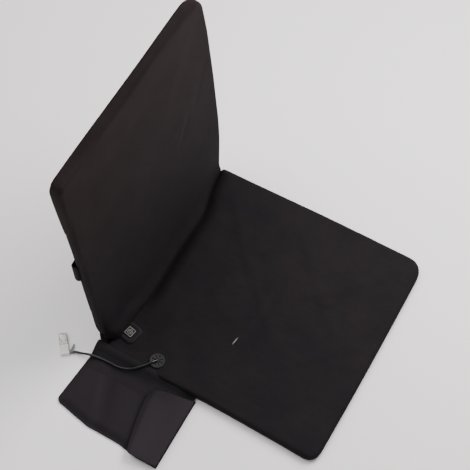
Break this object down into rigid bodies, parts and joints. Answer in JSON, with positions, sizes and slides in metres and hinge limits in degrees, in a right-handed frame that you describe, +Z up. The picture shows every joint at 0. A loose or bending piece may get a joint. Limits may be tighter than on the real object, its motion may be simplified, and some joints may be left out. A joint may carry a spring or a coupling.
{
  "type": "heated seat pad",
  "caption": "Folding heated seat pad: flat seat and standing back, push-button heat control, USB lead with plug cap, side pouch with flap.",
  "frame": {"origin": "centre of the seat panel's underside, on the surface that it lies on", "axes": "+X along the fold to the right of someone who sits on the pad, +Y towards the back panel, +Z up"},
  "size_m": [0.5298, 0.4835, 0.5271],
  "materials": {
    "brushed_fabric": "brushed polyester",
    "grip_fabric": "dotted anti-slip",
    "pouch_fabric": "woven polyester",
    "tape": "woven tape",
    "foam": "open-cell foam",
    "felt": "needle felt",
    "wire": "insulated carbon wire",
    "rubber": "matt",
    "grey_rubber": "satin",
    "cable": "satin jacket",
    "dark_plastic": "moulded",
    "board": "solder mask",
    "steel": "nickel plated",
    "white_plastic": "moulded",
    "clear_plastic": "clear"
  },
  "bodies": {
    "seat": {"seat_top_cover": "brushed_fabric", "seat_grip_base": "grip_fabric", "seat_foam": "foam", "seat_heating_felt": "felt", "seat_heating_wire": "wire", "seat_thermal_cutout": "dark_plastic", "seat_fold_strip": "tape", "controller_bezel": "rubber", "controller_box": "dark_plastic", "control_board": "board", "tact_switch": "steel", "status_led": "white_plastic", "cable_grommet": "grey_rubber", "inner_cable": "cable", "power_cable": "cable", "strain_relief": "cable", "plug_overmould": "white_plastic", "usb_shell": "steel", "usb_tongue": "white_plastic", "pouch_seam_tape": "tape"},
    "back": {"back_front_cover": "brushed_fabric", "back_rear_cover": "brushed_fabric", "back_foam": "foam", "back_heating_felt": "felt", "back_heating_wire": "wire", "back_thermal_cutout": "dark_plastic", "back_fold_strip": "tape", "rear_elastic_strap": "tape"},
    "button": {"button_cap": "rubber", "button_label": "white_plastic"},
    "cap": {"plug_cap": "clear_plastic"},
    "pouch": {"pouch_back_sheet": "pouch_fabric", "pouch_front_sheet": "pouch_fabric", "pouch_loop_patch": "tape"},
    "flap": {"pouch_flap": "pouch_fabric", "flap_hook_patch": "tape"}
  },
  "joints": [
    {"name": "back_fold", "type": "hinge", "parent": "seat", "child": "back", "pos_m": [0, 0.2, 0.025], "axis": [1, 0, 0], "range_deg": [-87.6, 92.4]},
    {"name": "button_press", "type": "slide", "parent": "seat", "child": "button", "axis": [0, 0, -1], "range_m": [0, 0.0008], "stiffness_N_per_m": 2500},
    {"name": "cap_pull", "type": "slide", "parent": "seat", "child": "cap", "axis": [0.788, 0.6157, 0], "range_m": [0, 0.024]},
    {"name": "pouch_swing", "type": "hinge", "parent": "seat", "child": "pouch", "pos_m": [-0.2012, 0.12, 0], "axis": [0, -1, 0], "range_deg": [0, 90]},
    {"name": "flap_open", "type": "hinge", "parent": "pouch", "child": "flap", "pos_m": [-0.2638, 0.023, 0.0131], "axis": [1, 0, 0], "range_deg": [0, 180]}
  ]
}
